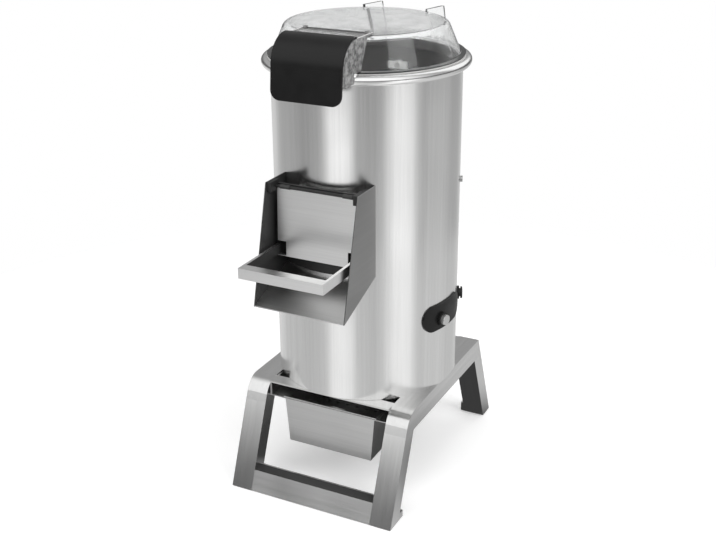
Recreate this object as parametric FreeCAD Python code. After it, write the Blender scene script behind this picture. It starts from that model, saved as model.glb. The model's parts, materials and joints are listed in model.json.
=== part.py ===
import FreeCAD, Part
import math
import os

# Electric potato peeler, millimetres. +Z is up, the chute faces -Y, the controls are on the +X side.
# Everything is built about the drum's axis; AXIS_Y then moves it so that the origin is under the middle
# of the whole part. An azimuth is an angle in degrees from the front (-Y) towards +X.

# Clearances
FIT = 0.3              # between fixed pieces that are pushed together
RUN = 0.05             # radial clearance of a shaft or pin in its bore
SEAT = 0.3             # between a moving piece and what it rests on
PASS = 5.0             # radial room around a shaft that passes through a plate
PROUD = 1.0            # how far a cut starts outside the face that it goes through

# Drum
DRUM_R = 200.0
SHELL_T = 1.5
SHELL_H = 703.0
RIM_OUT = 18.0         # how far the rolled bead stands out of the shell
RIM_IN = 10.0          # how far the rim's skirt stands inside the shell
BEAD_R = 10.0
RIM_T = 2.0
SKIRT_H = 24.0
LINER_T = 4.0
LINER_TOP_GAP = 6.0    # from the liner's top edge to the rim's underside
BASE_T = 3.0
VENT_COUNT = 7
VENT_W = 8.0
VENT_L = 50.0

# Stand
STAND_H = 233.0        # top of the rails above the floor
STAND_INSET = 4.0      # outer faces of the rails, inside the drum's radius
RAIL_W = 50.0
RAIL_H = 46.0
RAIL_INSET = 2.0       # ends of the rails' top faces, inside the drum's radius
RAIL_BEND_R = 45.0     # round where a rail turns down into its front leg
LEG_SPREAD = 93.0      # how far a foot stands out past the rail's top edge
LEG_D = 41.0           # fore and aft thickness of a leg, level
TUBE_T = 2.5
CROSSBAR_H = 46.0
CROSSBAR_D = 50.0
PAD_T = 2.0            # rubber pad under each foot
PAD_INSET = 3.0
FRONT_FOOT_L = 22.0    # how far a front foot stands out behind its leg
FRONT_FOOT_H = 15.0
REAR_FOOT_SIDE = 10.0  # how far a rear foot stands out on the leg's inner side
REAR_FOOT_H = 22.0
FRONT_TIE_D = 30.0
FRONT_TIE_T = 4.0
FRONT_TIE_INSET = 5.0  # front tie's edge, inside the drum's radius
REAR_TIE_D = 36.0
BOLT_R = 4.0
BOLT_HEAD_R = 7.5
BOLT_HEAD_H = 5.3
BOLT_SPREAD = 140.0    # between the bolts of one rail

# Drive, stacked up from the base plate
MOTOR_LIFT = 14.0      # motor's underside above the base plate
MOTOR_L = 146.0
MOTOR_R = 62.0
MOTOR_FLANGE_R = 68.0
MOTOR_FLANGE_T = 8.0
MOTOR_GAP = 12.5       # motor flange to the shell
FIN_PITCH = 20.0
FIN_GROOVE_W = 8.0
FIN_GROOVE_D = 5.0
MOTOR_SHAFT_R = 9.5
MOTOR_SHAFT_DEPTH = 30.0
BRACKET_T = 6.0
BRACKET_MARGIN = 12.0  # bracket plate beyond the motor's flange
STUD_R = 5.0
STUD_FRONT_X = 66.0
STUD_FRONT_Y = -33.0   # from the motor's axis
STUD_REAR_X = 48.0
STUD_REAR_Y = 52.0
PULLEY_LIFT = 10.0     # pulleys above the bracket plate
PULLEY_W = 20.0
PULLEY_GAP = 6.0       # between the two pulleys
DRIVER_R = 26.0
GROOVE_W = 10.0
GROOVE_D = 6.0
BELT_T = 8.0
PULLEY_DROP = 8.0      # pulleys below the motor plate
MOTOR_PLATE_T = 6.0
SHAFT_R = 15.0
SHAFT_END = 4.0        # shaft's end below the driven pulley
SPIGOT_R = 10.0
NUT_R = 17.0
NUT_H = 10.0
NUT_CAP_R = 12.0
NUT_CAP_H = 6.0
BEARING_R = 31.0
BEARING_T = 14.0
RACE_W = 6.0
RACE_DEPTH = 2.0
HOUSING_R = 38.0
HOUSING_FLANGE_R = 60.0
HOUSING_FLANGE_T = 10.0
HOUSING_TOP = 8.0      # housing's top above the pan's floor
SHAFT_SEAL_T = 8.0

# Peeling chamber
PAN_LIFT = 74.0        # pan's floor above the motor plate
PAN_T = 2.5
PAN_H = 30.0
DISC_LIFT = 24.0       # disc's underside above the pan's floor
DISC_T = 12.0
DISC_GAP = 6.0         # between disc and liner
RIDGE_H = 9.0
RIDGE_W = 48.0
RIDGE_START = 41.0     # from the disc's axis
RIDGE_END = 12.0       # from the disc's edge
DRAIN_R = 27.0
DRAIN_T = 2.0
DRAIN_GAP = 22.0       # between the driven pulley and the drain duct
DRAIN_FLANGE = 8.0
DRAIN_END = 28.0       # duct's lower end below the drum

# Water inlet, gland and screws
WATER_X = -14.0
WATER_DROP = 64.0      # inlet below the rim's top
TAIL_R = 10.0
TAIL_BORE_R = 6.5
TAIL_L = 34.0
TAIL_NUT_R = 15.0
TAIL_NUT_L = 8.0
NOZZLE_W = 45.0
NOZZLE_H = 15.0
NOZZLE_T = 8.0
GLAND_AZ = 205.0
GLAND_RISE = 67.0      # above the drum's lower edge
GLAND_R = 12.0
GLAND_BORE_R = 5.5
GLAND_INNER_R = 8.0    # wider bore through the drum's wall
GLAND_L = 26.0
GLAND_NUT_R = 16.0
GLAND_NUT_L = 8.0
SCREW_COUNT = 3
SCREW_FIRST_AZ = 110.0
SCREW_STEP_AZ = 70.0
SCREW_RISE = 112.0     # above the outlet's sill
SCREW_R = 3.0
SCREW_HEAD_R = 6.5
SCREW_HEAD_H = 5.0

# Outlet and chute
SILL_LIFT = 4.0        # outlet's sill above the disc
OUTLET_H = 134.0
OUTLET_W = 144.0
COLLAR_T = 2.0
CHUTE_T = 2.0
CHUTE_TOP_OUT = 48.0   # side wall's top corner, in front of the drum
CHUTE_LIP_OUT = 111.0
CHUTE_LIP_DROP = 91.0  # lip below the outlet's sill
CHUTE_SLOPE = 20.0     # degrees
CHUTE_RISE = 16.0      # side wall's top above the door panel
HINGE_ROD_R = 3.0
HINGE_RISE = 4.5       # hinge rod above the door panel
HINGE_BAR_RISE = 9.0   # hinge bar's top above the door panel
HINGE_BAR_H = 6.0
HINGE_BAR_T = 5.0
HINGE_BAR_GAP = 1.5
HINGE_BLOCK_H = 20.0
HINGE_BLOCK_W = 10.0
HINGE_BLOCK_L = 20.0   # in front of the rod

# Door
DOOR_SIDE = 19.0       # door beyond the outlet on each side
DOOR_ABOVE = 6.0
DOOR_BELOW = 4.0
DOOR_T = 2.0
DOOR_OUT = 24.0        # door's top edge in front of the drum
DOOR_LEAN = 6.5        # how much further out the bottom edge is
DOOR_FOLD = 7.0
DOOR_NOTCH_W = 20.0
DOOR_NOTCH_H = 30.0
DOOR_PLAY = 1.0        # between the door's edges and the hinge blocks
KNUCKLE_L = 22.0
KNUCKLE_T = 1.5
DOOR_SEAL_W = 8.0
DOOR_SEAL_T = 8.0
HANDLE_OUT = 177.0     # handle's front face, in front of the drum
HANDLE_SIDE = 3.5      # handle beyond the door on each side
HANDLE_H = 22.0
HANDLE_D = 22.0
HANDLE_T = 2.0
HANDLE_LIP_H = 11.0
ARM_T = 6.0

# Controls
PLATE_AZ = 83.0
PLATE_HALF = 21.0      # degrees
PLATE_DROP = 42.0      # plate's middle below the motor plate
PLATE_H = 58.0
PLATE_T = 4.0
START_AZ = 77.5
START_DROP = 6.0       # start button below the plate's middle
STOP_AZ = 114.5
STOP_RISE = 2.0        # stop button above the plate's middle
BEZEL_R = 15.0
BEZEL_H = 5.0
NECK_R = 8.0
NECK_IN = 6.0          # bezel's neck inside the shell
CAP_R = 11.5
CAP_H = 9.0
CAP_ROUND = 1.5
STOP_NECK_R = 9.5
STOP_HEAD_R = 13.5
STOP_HEAD_T = 4.0
STEM_R = 6.0
STEM_IN = 12.0
PRESS = 3.0            # travel of a button
CONTROL_BOX_W = 90.0
CONTROL_BOX_D = 48.0
CONTROL_BOX_H = 60.0

# Lid
LID_BASE_INSET = 4.0   # dome's foot inside the drum's radius
LID_TOP_INSET = 28.0
LID_H = 67.0           # dome's top above the rim
LID_EDGE_R = 14.0
LID_T = 3.0
LID_FLANGE = 9.0
GASKET_T = 2.0
GASKET_W = 12.0
HOOD_W = 154.0
HOOD_T = 3.0
HOOD_BACK_INSET = 73.0
HOOD_LAP = 10.0        # hood over the dome's top
HOOD_RIM_GAP = 2.0
CHEEK_DROP = 13.0      # cheeks' lower edge below the rim's top
VISOR_INSET = 2.0      # start of the visor's curve, inside the drum's radius
VISOR_R = 58.0
VISOR_T = 4.0
VISOR_LAP = 4.0        # level strip of the visor behind its curve
VISOR_DROP = 47.0      # visor's lower edge below the rim's top
VISOR_LEAN = 6.0
VISOR_CORNER = 20.0
HOOD_SCREW_R = 5.0
HOOD_SCREW_H = 3.0
HOOD_SCREW_INSET = 9.0
LID_ARM_T = 6.0
LID_ARM_FRONT = 62.0   # arms' front edge, inside the drum's radius
LID_ARM_RISE = 6.0     # arms stand this far above the dome's top
LID_ARM_SLANT = 12.0   # arms' top rear corner in front of the pin
LID_PIN_R = 5.0
LID_PIN_OUT = 20.0     # pin behind the rim
LID_PIN_DROP = 13.0
LID_PIN_HEAD = 4.0
LID_PIN_HEAD_L = 3.0
LID_PIN_PLAY = 1.0
LID_BOSS_R = 13.0
LUG_T = 6.0
LUG_GAP = 3.0          # between a lug and its arm
LUG_RIM_GAP = 4.0
LUG_H = 69.0

# Drawer
DRAWER_DROP = 35.0     # drawer's rim below the rails' top
DRAWER_SIDE = 36.0     # between the drawer's side and the rail
DRAWER_H = 107.0
DRAWER_TAPER = 9.0     # on each side
DRAWER_FRONT_INSET = 10.0
DRAWER_REAR_INSET = 50.0
DRAWER_T = 1.5
DRAWER_RIM = 8.0
BASKET_H = 70.0
BASKET_INSET = 4.0
BASKET_HOLE_R = 4.0
BASKET_COLUMNS = 7
BASKET_ROWS = 12
BASKET_PITCH = 24.0
STUB_R = 25.0
STUB_T = 2.0
STUB_L = 36.0
STUB_Y = 60.0
RUNNER_T = 2.0
RUNNER_GAP = 2.5
TIE_GAP = 6.0          # between the drawer and the rear tie

# Stand and drum, worked out
STAND_W = 2 * (DRUM_R - STAND_INSET)
RAIL_TOP_L = 2 * (DRUM_R - RAIL_INSET)
FOOT_REACH = RAIL_TOP_L / 2 + LEG_SPREAD
RAIL_BOTTOM = STAND_H - RAIL_H
RAIL_IN = STAND_W / 2 - RAIL_W
RAIL_MIDDLE = RAIL_IN + RAIL_W / 2
LEG_SLOPE = LEG_SPREAD / STAND_H
STAND_REACH = FOOT_REACH - LEG_SLOPE * PAD_T
SHELL_TOP = STAND_H + SHELL_H
SHELL_IN = DRUM_R - SHELL_T
RIM_TOP = SHELL_TOP + RIM_T
RIM_R = DRUM_R + RIM_OUT
LINER_R = SHELL_IN - FIT
CHAMBER_R = LINER_R - LINER_T
BASE_TOP = STAND_H + BASE_T

# Drive and chamber, worked out
MOTOR_OFFSET = SHELL_IN - MOTOR_GAP - MOTOR_FLANGE_R
DRIVEN_R = MOTOR_OFFSET - DRIVER_R - PULLEY_GAP
MOTOR_BOTTOM = BASE_TOP + MOTOR_LIFT
MOTOR_TOP = MOTOR_BOTTOM + MOTOR_L
BRACKET_TOP = MOTOR_TOP + BRACKET_T
PULLEY_BOTTOM = BRACKET_TOP + PULLEY_LIFT
PULLEY_TOP = PULLEY_BOTTOM + PULLEY_W
PULLEY_MIDDLE = PULLEY_BOTTOM + PULLEY_W / 2
PLATE_BOTTOM = PULLEY_TOP + PULLEY_DROP
PLATE_TOP = PLATE_BOTTOM + MOTOR_PLATE_T
PAN_Z = PLATE_TOP + PAN_LIFT
HOUSING_Z = PAN_Z + HOUSING_TOP
DISC_BOTTOM = PAN_Z + DISC_LIFT
DISC_TOP = DISC_BOTTOM + DISC_T
DISC_R = CHAMBER_R - DISC_GAP
DRAIN_Y = DRIVEN_R + DRAIN_GAP + DRAIN_R
DRAIN_END_Z = STAND_H - DRAIN_END
WATER_Z = RIM_TOP - WATER_DROP
GLAND_Z = STAND_H + GLAND_RISE
CONTROL_Z = PLATE_BOTTOM - PLATE_DROP
START_Z = CONTROL_Z - START_DROP
STOP_Z = CONTROL_Z + STOP_RISE
PLATE_IN_R = DRUM_R + FIT
PLATE_R = PLATE_IN_R + PLATE_T
START_FACE = PLATE_R + BEZEL_H
STOP_FACE = DRUM_R + BEZEL_H

# Outlet, chute and door, worked out
SILL_Z = DISC_TOP + SILL_LIFT
OUTLET_TOP = SILL_Z + OUTLET_H
SCREW_Z = SILL_Z + SCREW_RISE
DOOR_W = OUTLET_W + 2 * DOOR_SIDE
DOOR_TOP = OUTLET_TOP + DOOR_ABOVE
DOOR_BOTTOM = SILL_Z - DOOR_BELOW
DOOR_REACH = DRUM_R + DOOR_OUT
HINGE_Z = DOOR_TOP + HINGE_RISE
HINGE_REACH = DOOR_REACH + DOOR_T
CHUTE_HALF = DOOR_W / 2 + DOOR_PLAY + HINGE_BLOCK_W
CHUTE_TOP = DOOR_TOP + CHUTE_RISE
HINGE_BAR_TOP = DOOR_TOP + HINGE_BAR_RISE
CHUTE_TOP_REACH = DRUM_R + CHUTE_TOP_OUT
CHUTE_LIP_REACH = DRUM_R + CHUTE_LIP_OUT
CHUTE_LIP_Z = SILL_Z - CHUTE_LIP_DROP
HANDLE_REACH = DRUM_R + HANDLE_OUT
HANDLE_W = DOOR_W + 2 * HANDLE_SIDE

# Lid and drawer, worked out
LID_BASE_R = DRUM_R - LID_BASE_INSET
LID_TOP_R = DRUM_R - LID_TOP_INSET
LID_FLANGE_R = LID_BASE_R + LID_FLANGE
LID_BASE_Z = RIM_TOP + SEAT + GASKET_T
LID_TOP = RIM_TOP + LID_H
HOOD_BACK = DRUM_R - HOOD_BACK_INSET
VISOR_REACH = DRUM_R - VISOR_INSET
VISOR_TOP = LID_TOP + HOOD_T + VISOR_T
VISOR_BOTTOM = RIM_TOP - VISOR_DROP
VISOR_FRONT = VISOR_REACH + VISOR_R
CHEEK_BOTTOM = RIM_TOP - CHEEK_DROP
LID_PIN_REACH = RIM_R + LID_PIN_OUT
LID_PIN_Z = RIM_TOP - LID_PIN_DROP
DRAWER_TOP = STAND_H - DRAWER_DROP
DRAWER_BOTTOM = DRAWER_TOP - DRAWER_H
DRAWER_HALF = RAIL_IN - DRAWER_SIDE
DRAWER_FRONT = DRUM_R - DRAWER_FRONT_INSET
DRAWER_REAR = DRUM_R - DRAWER_REAR_INSET

# From the drum's axis to the middle of the whole part
AXIS_Y = (HANDLE_REACH - STAND_REACH) / 2


def vec(x, y, z):
    return FreeCAD.Vector(x, y, z)


def box(x0, x1, y0, y1, z0, z1):
    return Part.makeBox(x1 - x0, y1 - y0, z1 - z0, vec(x0, y0, z0))


def cylinder(r, z0, z1, x=0.0, y=0.0):
    return Part.makeCylinder(r, z1 - z0, vec(x, y, z0), vec(0, 0, 1))


def ring(r_out, r_in, z0, z1, x=0.0, y=0.0):
    return cylinder(r_out, z0, z1, x, y).cut(cylinder(r_in, z0, z1, x, y))


def rod_x(r, x0, x1, y, z):
    return Part.makeCylinder(r, x1 - x0, vec(x0, y, z), vec(1, 0, 0))


def rod_front(r, reach0, reach1, z):
    # a rod in front of the drum's axis, between two distances from it
    return Part.makeCylinder(r, reach1 - reach0, vec(0, -reach0, z), vec(0, -1, 0))


def rod_back(r, y0, y1, x, z):
    return Part.makeCylinder(r, y1 - y0, vec(x, y0, z), vec(0, 1, 0))


def at_azimuth(shape, azimuth):
    turned = shape.copy()
    turned.rotate(vec(0, 0, 0), vec(0, 0, 1), azimuth)
    return turned


def mirrored(shape):
    return shape.mirror(vec(0, 0, 0), vec(1, 0, 0))


def turned_back(shape):
    return shape.mirror(vec(0, 0, 0), vec(0, 1, 0))


def pair(shape):
    return Part.makeCompound([shape, mirrored(shape)])


def joined(shape, others):
    return shape.fuse(others).removeSplitter()


def profile_x(points, x0, x1):
    # a polygon of (y, z) points, extruded along X
    corners = [vec(x0, y, z) for y, z in points]
    face = Part.Face(Part.makePolygon(corners + corners[:1]))
    return face.extrude(vec(x1 - x0, 0, 0))


def hexagon(corner_r, z0, z1, x=0.0, y=0.0):
    points = []
    for step in range(7):
        angle = math.radians(60 * step)
        points.append(vec(x + corner_r * math.cos(angle), y + corner_r * math.sin(angle), z0))
    return Part.Face(Part.makePolygon(points)).extrude(vec(0, 0, z1 - z0))


def save(node, shape):
    placed = shape.copy()
    placed.translate(vec(0, AXIS_Y, 0))
    placed.exportStep("parts/" + node + ".step")


# Stand

def leg_face_y(z):
    # the outer face of the front legs, and of the rails' slanted ends
    return -(FOOT_REACH - LEG_SLOPE * z)


def bolt_places():
    return [(x, y) for x in (-RAIL_MIDDLE, RAIL_MIDDLE) for y in (-BOLT_SPREAD / 2, BOLT_SPREAD / 2)]


def bolt_holes(z0, z1):
    return Part.makeCompound([cylinder(BOLT_R + FIT, z0 - PROUD, z1 + PROUD, x, y) for x, y in bolt_places()])


def rail_outline(inset):
    low = RAIL_BOTTOM + inset
    high = STAND_H - inset
    front = [(leg_face_y(low) + inset, low), (leg_face_y(high) + inset, high)]
    return front + [(-y, z) for y, z in reversed(front)]


def bent_rail(inset):
    # the rail's outer form, or its hollow when moved in by the wall, with its top front edge rounded
    body = profile_x(rail_outline(inset), RAIL_IN + inset, STAND_W / 2 - inset)
    top_edge = [edge for edge in body.Edges
                if edge.BoundBox.ZMin > STAND_H - RAIL_H / 2 and edge.BoundBox.YMax < -RAIL_TOP_L / 4]
    return body.makeFillet(RAIL_BEND_R - inset, top_edge)


def rail():
    tube = bent_rail(0).cut(bent_rail(TUBE_T))
    return tube.cut(bolt_holes(RAIL_BOTTOM, STAND_H))


def leg_outline(z0, inset):
    low = leg_face_y(z0) + inset
    high = leg_face_y(RAIL_BOTTOM) + inset
    depth = LEG_D - 2 * inset
    return [(low, z0), (high, RAIL_BOTTOM), (high + depth, RAIL_BOTTOM), (low + depth, z0)]


def front_leg():
    x_out = STAND_W / 2
    body = profile_x(leg_outline(PAD_T, 0), RAIL_IN, x_out)
    return body.cut(profile_x(leg_outline(PAD_T + TUBE_T, TUBE_T), RAIL_IN + TUBE_T, x_out - TUBE_T))


def crossbar_outline(inset):
    low = PAD_T + inset
    high = CROSSBAR_H - inset
    back = CROSSBAR_D - FOOT_REACH - inset
    return [(leg_face_y(low) + inset, low), (leg_face_y(high) + inset, high), (back, high), (back, low)]


def front_crossbar():
    tube = profile_x(crossbar_outline(0), -RAIL_IN, RAIL_IN)
    return tube.cut(profile_x(crossbar_outline(TUBE_T), -RAIL_IN, RAIL_IN))


def front_tie():
    front = FRONT_TIE_INSET - DRUM_R
    high = STAND_H - FIT
    return box(-RAIL_IN, RAIL_IN, front, front + FRONT_TIE_D, high - FRONT_TIE_T, high)


def rear_tie():
    front = DRAWER_REAR + DRAWER_RIM / 2 + TIE_GAP
    rear = front + REAR_TIE_D
    high = STAND_H - FIT
    t = TUBE_T
    tube = box(-RAIL_IN, RAIL_IN, front, rear, RAIL_BOTTOM, high)
    return tube.cut(box(-RAIL_IN, RAIL_IN, front + t, rear - t, RAIL_BOTTOM + t, high - t))


def feet():
    leg = profile_x(leg_outline(0, 0), RAIL_IN, STAND_W / 2)
    back = LEG_D - FOOT_REACH
    front = box(RAIL_IN, STAND_W / 2, back - LEG_D / 2, back + FRONT_FOOT_L, PAD_T, PAD_T + FRONT_FOOT_H)
    front = front.cut(leg)
    rear = box(RAIL_IN - REAR_FOOT_SIDE, RAIL_IN, FOOT_REACH - LEG_D, STAND_REACH, PAD_T, PAD_T + REAR_FOOT_H)
    return Part.makeCompound([front, mirrored(front), rear, mirrored(rear)])


def foot_pads():
    x_in = RAIL_IN + PAD_INSET
    x_out = STAND_W / 2 - PAD_INSET
    end = FOOT_REACH - PAD_INSET
    front = box(x_in, x_out, -end, LEG_D - FOOT_REACH + FRONT_FOOT_L - PAD_INSET, 0, PAD_T)
    rear = box(x_in - REAR_FOOT_SIDE, x_out, FOOT_REACH - LEG_D + PAD_INSET, end, 0, PAD_T)
    return Part.makeCompound([front, mirrored(front), rear, mirrored(rear)])


def stand_bolts():
    bolts = []
    for x, y in bolt_places():
        head = hexagon(BOLT_HEAD_R, RAIL_BOTTOM - BOLT_HEAD_H, RAIL_BOTTOM, x, y)
        shank = cylinder(BOLT_R, RAIL_BOTTOM, BASE_TOP + 2 * BOLT_HEAD_H, x, y)
        nut = hexagon(BOLT_HEAD_R, BASE_TOP, BASE_TOP + BOLT_HEAD_H, x, y)
        bolts.append(joined(head, [shank, nut]))
    return Part.makeCompound(bolts)


def drawer_runners():
    front = -DRAWER_FRONT
    top = DRAWER_TOP - DRAWER_T - SEAT
    high = STAND_H - FRONT_TIE_T - 2 * FIT
    shelf = box(DRAWER_HALF + RUNNER_GAP, RAIL_IN, front, DRAWER_REAR, top - RUNNER_T, top)
    upright = box(RAIL_IN - RUNNER_T, RAIL_IN, front, DRAWER_REAR, top - RUNNER_T, high)
    return pair(joined(shelf, [upright]))


# Drum

def outlet_hole():
    half = OUTLET_W / 2 + FIT
    return box(-half, half, -RIM_R, -DRUM_R / 2, SILL_Z - FIT, OUTLET_TOP + FIT)


def wall_hole(r, azimuth, z):
    return at_azimuth(rod_front(r, DRUM_R / 2, RIM_R, z), azimuth)


def screw_azimuths():
    return [SCREW_FIRST_AZ + SCREW_STEP_AZ * step for step in range(SCREW_COUNT)]


def screw_holes():
    return Part.makeCompound([wall_hole(SCREW_R + FIT, azimuth, SCREW_Z) for azimuth in screw_azimuths()])


def water_hole():
    return rod_back(TAIL_R + FIT, DRUM_R / 2, RIM_R, WATER_X, WATER_Z)


def button_holes():
    return Part.makeCompound([wall_hole(NECK_R, START_AZ, START_Z), wall_hole(NECK_R, STOP_AZ, STOP_Z)])


def drum_shell():
    shell = ring(DRUM_R, SHELL_IN, STAND_H, SHELL_TOP)
    for hole in (outlet_hole(), screw_holes(), water_hole(), button_holes(),
                 wall_hole(GLAND_R + FIT, GLAND_AZ, GLAND_Z)):
        shell = shell.cut(hole)
    return shell


def flat_line(a, b):
    return Part.LineSegment(vec(a[0], 0, a[1]), vec(b[0], 0, b[1])).toShape()


def flat_arc(centre, r, start, end):
    # an arc in the XZ plane, from one angle to another in degrees, 0 pointing out and 90 up
    points = []
    for angle in (start, (start + end) / 2, end):
        turn = math.radians(angle)
        points.append(vec(centre[0] + r * math.cos(turn), 0, centre[1] + r * math.sin(turn)))
    return Part.Arc(*points).toShape()


def turned_profile(edges):
    # a closed outline in the XZ plane, revolved about the drum's axis
    return Part.Face(Part.Wire(edges)).revolve(vec(0, 0, 0), vec(0, 0, 1), 360)


def rim_ring():
    # a rolled edge: the bead curls out and back to the shell, and a skirt hangs inside it
    skirt_r = DRUM_R - RIM_IN
    skirt_out = skirt_r + RIM_T
    skirt_low = RIM_TOP - SKIRT_H
    bead = (RIM_R - BEAD_R, RIM_TOP - BEAD_R)
    low = RIM_TOP - 2 * BEAD_R
    wall = DRUM_R + FIT
    edges = [flat_line((skirt_r, skirt_low), (skirt_r, SHELL_TOP)),
             flat_arc((skirt_out, SHELL_TOP), RIM_T, 180, 90),
             flat_line((skirt_out, RIM_TOP), (bead[0], RIM_TOP)),
             flat_arc(bead, BEAD_R, 90, -90),
             flat_line((bead[0], low), (wall, low)),
             flat_line((wall, low), (wall, low + RIM_T)),
             flat_line((wall, low + RIM_T), (bead[0], low + RIM_T)),
             flat_arc(bead, BEAD_R - RIM_T, -90, 90),
             flat_line((bead[0], SHELL_TOP), (skirt_out, SHELL_TOP)),
             flat_line((skirt_out, SHELL_TOP), (skirt_out, skirt_low)),
             flat_line((skirt_out, skirt_low), (skirt_r, skirt_low))]
    return turned_profile(edges)


def chamber_liner():
    liner = ring(LINER_R, CHAMBER_R, PAN_Z + PAN_H, SHELL_TOP - LINER_TOP_GAP)
    for hole in (outlet_hole(), screw_holes(), water_hole()):
        liner = liner.cut(hole)
    return liner


def chamber_pan():
    low = PAN_Z - PAN_T
    pan = cylinder(LINER_R, low, PAN_Z + PAN_H)
    pan = pan.cut(cylinder(LINER_R - PAN_T, PAN_Z, PAN_Z + PAN_H + PROUD))
    pan = pan.cut(cylinder(HOUSING_R + FIT, low - PROUD, PAN_Z + PROUD))
    return pan.cut(cylinder(DRAIN_R - DRAIN_T, low - PROUD, PAN_Z + PROUD, 0, -DRAIN_Y))


def drain_duct():
    top = PAN_Z - PAN_T
    tube = ring(DRAIN_R, DRAIN_R - DRAIN_T, DRAIN_END_Z, top, 0, -DRAIN_Y)
    flange = ring(DRAIN_R + DRAIN_FLANGE, DRAIN_R - DRAIN_T, top - DRAIN_T, top, 0, -DRAIN_Y)
    return joined(tube, [flange])


def drain_hole(z0, z1):
    return cylinder(DRAIN_R + FIT, z0 - PROUD, z1 + PROUD, 0, -DRAIN_Y)


def base_plate():
    plate = cylinder(LINER_R, STAND_H, BASE_TOP).cut(drain_hole(STAND_H, BASE_TOP))
    plate = plate.cut(bolt_holes(STAND_H, BASE_TOP))
    for slot in range(VENT_COUNT):
        x = (2 * slot - VENT_COUNT + 0.5) * VENT_W
        plate = plate.cut(box(x, x + VENT_W, 0, VENT_L, STAND_H - PROUD, BASE_TOP + PROUD))
    return plate


def motor_plate():
    plate = cylinder(LINER_R, PLATE_BOTTOM, PLATE_TOP).cut(drain_hole(PLATE_BOTTOM, PLATE_TOP))
    return plate.cut(cylinder(SHAFT_R + PASS, PLATE_BOTTOM - PROUD, PLATE_TOP + PROUD))


def lower_bearing_z():
    return PLATE_TOP + HOUSING_FLANGE_T


def upper_bearing_z():
    return HOUSING_Z - SHAFT_SEAL_T - BEARING_T


def bearing_housing():
    body = cylinder(HOUSING_R, PLATE_TOP, HOUSING_Z)
    housing = joined(body, [cylinder(HOUSING_FLANGE_R, PLATE_TOP, lower_bearing_z())])
    housing = housing.cut(cylinder(SHAFT_R + PASS, PLATE_TOP - PROUD, HOUSING_Z + PROUD))
    housing = housing.cut(cylinder(BEARING_R, lower_bearing_z(), lower_bearing_z() + BEARING_T))
    return housing.cut(cylinder(BEARING_R, upper_bearing_z(), HOUSING_Z + PROUD))


def bearing(z0):
    middle = (BEARING_R + SHAFT_R) / 2
    top = z0 + BEARING_T
    body = ring(BEARING_R, SHAFT_R + RUN, z0, top)
    return body.cut(ring(middle + RACE_W / 2, middle - RACE_W / 2, top - RACE_DEPTH, top))


def bearings():
    return Part.makeCompound([bearing(lower_bearing_z()), bearing(upper_bearing_z())])


def shaft_seal():
    return ring(BEARING_R, SHAFT_R + RUN, HOUSING_Z - SHAFT_SEAL_T, HOUSING_Z)


def water_inlet():
    inside = math.sqrt(CHAMBER_R ** 2 - NOZZLE_W ** 2)
    outside = DRUM_R + TAIL_L
    tail = rod_back(TAIL_R, inside, outside, WATER_X, WATER_Z)
    nut = rod_back(TAIL_NUT_R, DRUM_R + FIT, DRUM_R + FIT + TAIL_NUT_L, WATER_X, WATER_Z)
    half_w = NOZZLE_W / 2
    half_h = NOZZLE_H / 2
    nozzle = box(WATER_X - half_w, WATER_X + half_w, inside - NOZZLE_T, inside,
                 WATER_Z - half_h, WATER_Z + half_h)
    bore = rod_back(TAIL_BORE_R, inside - NOZZLE_T - PROUD, outside + PROUD, WATER_X, WATER_Z)
    return joined(tail, [nut, nozzle]).cut(bore)


def cable_gland():
    body = rod_front(GLAND_R, SHELL_IN - GLAND_NUT_L, DRUM_R + GLAND_L, GLAND_Z)
    nut = rod_front(GLAND_NUT_R, DRUM_R + FIT, DRUM_R + FIT + GLAND_NUT_L, GLAND_Z)
    bore = rod_front(GLAND_BORE_R, DRUM_R / 2, DRUM_R + GLAND_L + PROUD, GLAND_Z)
    inner = rod_front(GLAND_INNER_R, DRUM_R / 2, DRUM_R + FIT, GLAND_Z)
    return at_azimuth(joined(body, [nut]).cut(bore).cut(inner), GLAND_AZ)


def liner_screws():
    shank = rod_front(SCREW_R, CHAMBER_R, DRUM_R + FIT, SCREW_Z)
    head = rod_front(SCREW_HEAD_R, DRUM_R + FIT, DRUM_R + FIT + SCREW_HEAD_H, SCREW_Z)
    screw = joined(shank, [head])
    return Part.makeCompound([at_azimuth(screw, azimuth) for azimuth in screw_azimuths()])


# Chute

def chute_line_z(reach):
    # height of the chute floor's underside at a distance in front of the axis
    return CHUTE_LIP_Z + (CHUTE_LIP_REACH - reach) * math.tan(math.radians(CHUTE_SLOPE))


def chute_wall():
    back = DRUM_R / 2
    points = [(-CHUTE_TOP_REACH, CHUTE_TOP), (-CHUTE_LIP_REACH, CHUTE_LIP_Z),
              (-back, chute_line_z(back)), (-back, CHUTE_TOP)]
    wall = profile_x(points, CHUTE_HALF, CHUTE_HALF + CHUTE_T)
    return wall.cut(cylinder(DRUM_R, STAND_H, SHELL_TOP))


def chute_floor():
    back = DRUM_R / 2
    rise = CHUTE_T / math.cos(math.radians(CHUTE_SLOPE))
    points = [(-CHUTE_LIP_REACH, CHUTE_LIP_Z), (-CHUTE_LIP_REACH, CHUTE_LIP_Z + rise),
              (-back, chute_line_z(back) + rise), (-back, chute_line_z(back))]
    return profile_x(points, -CHUTE_HALF, CHUTE_HALF).cut(cylinder(DRUM_R, STAND_H, SHELL_TOP))


def door_face_y(z):
    # the door's outer face, which leans out towards its bottom edge
    return -(DOOR_REACH + DOOR_LEAN * (DOOR_TOP - z) / (DOOR_TOP - DOOR_BOTTOM))


def behind_door(gap):
    # all the space from a gap behind the door's outer face back to the middle of the drum
    low = SILL_Z - DOOR_BELOW
    high = OUTLET_TOP + DOOR_ABOVE
    points = [(door_face_y(low) + gap, low), (door_face_y(high) + gap, high), (0, high), (0, low)]
    return profile_x(points, -DRUM_R, DRUM_R)


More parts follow.
